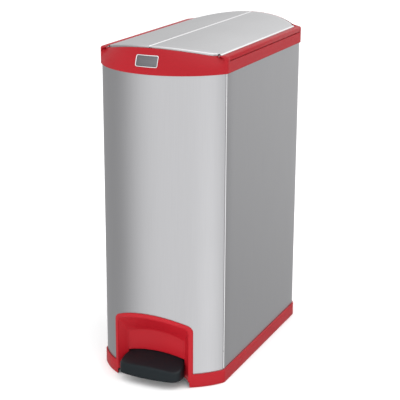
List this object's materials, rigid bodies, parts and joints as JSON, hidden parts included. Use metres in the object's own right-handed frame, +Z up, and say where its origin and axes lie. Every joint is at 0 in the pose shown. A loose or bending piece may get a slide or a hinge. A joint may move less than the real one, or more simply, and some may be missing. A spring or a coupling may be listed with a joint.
{
  "type": "step-on waste bin",
  "caption": "Slim step-on waste bin: bowed steel body, coloured frame and base, two arched lid leaves lifted by a pedal, lever and push rod, rigid inner liner.",
  "frame": {"origin": "centre of the bin's footprint, on the floor under its rubber feet", "axes": "+Z up; the pedal end faces -Y; the lid leaves open about axes along Y, at plus and minus X"},
  "size_m": [0.3272, 0.69, 0.826],
  "materials": {
    "red_plastic": "moulded, satin",
    "black_plastic": "moulded, fine grain",
    "brushed_steel": "satin brushed stainless",
    "lid_steel": "satin brushed stainless",
    "zinc_steel": "zinc plated",
    "grey_plastic": "moulded liner",
    "black_rubber": "matt rubber",
    "nylon": "natural nylon",
    "bright_trim": "bright plated",
    "badge_face": "blank gloss inset"
  },
  "bodies": {
    "bin": {"base_ring": "red_plastic", "base_tray": "black_plastic", "rubber_feet": "black_rubber", "pedal_surround": "red_plastic", "front_panel": "brushed_steel", "body_wrap": "brushed_steel", "liner_deck": "black_plastic", "liner": "grey_plastic", "top_frame": "red_plastic", "hinge_cover_left": "red_plastic", "hinge_cover_right": "red_plastic", "hinge_rod_left": "zinc_steel", "hinge_rod_right": "zinc_steel", "badge_bezel": "bright_trim", "badge_plate": "badge_face", "pedal_axle": "zinc_steel", "axle_bushes": "nylon", "axle_brackets": "zinc_steel", "rod_guide_lower": "black_plastic", "rod_guide_upper": "black_plastic", "return_spring": "zinc_steel", "damper_cylinder": "black_plastic", "damper_bracket": "black_plastic", "tray_screws": "zinc_steel", "bracket_screws": "zinc_steel", "guide_rivets": "brushed_steel"},
    "pedal": {"pedal_pad": "black_plastic", "pedal_lever": "zinc_steel"},
    "lift": {"push_rod": "zinc_steel", "rod_foot": "nylon", "rod_collar": "zinc_steel", "lift_bar": "zinc_steel", "yoke_left": "zinc_steel", "yoke_right": "zinc_steel", "damper_rod": "bright_trim", "damper_clamp": "zinc_steel"},
    "leaf_left": {"lid_skin_left": "lid_steel", "lid_pan_left": "black_plastic", "hinge_tube_left": "lid_steel", "crank_left": "zinc_steel"},
    "leaf_right": {"lid_skin_right": "lid_steel", "lid_pan_right": "black_plastic", "hinge_tube_right": "lid_steel", "crank_right": "zinc_steel"}
  },
  "joints": [
    {"name": "pedal_press", "type": "hinge", "parent": "bin", "child": "pedal", "pos_m": [0, 0, 0.044], "axis": [1, 0, 0], "range_deg": [0, 3.16]},
    {"name": "rod_lift", "type": "slide", "parent": "bin", "child": "lift", "axis": [0, 0, 1], "range_m": [0, 0.01783], "deforming": ["return_spring"]},
    {"name": "leaf_left_open", "type": "hinge", "parent": "bin", "child": "leaf_left", "pos_m": [-0.1415, 0, 0.80197], "axis": [0, 1, 0], "range_deg": [-80.1, 0]},
    {"name": "leaf_right_open", "type": "hinge", "parent": "bin", "child": "leaf_right", "pos_m": [0.1415, 0, 0.80197], "axis": [0, 1, 0], "range_deg": [0, 80.1]}
  ],
  "couplings": [
    {"joint": "rod_lift", "follows": "pedal_press", "m_per_rad": 0.3233},
    {"joint": "leaf_left_open", "follows": "pedal_press", "ratio": -25.342},
    {"joint": "leaf_right_open", "follows": "pedal_press", "ratio": 25.342}
  ]
}
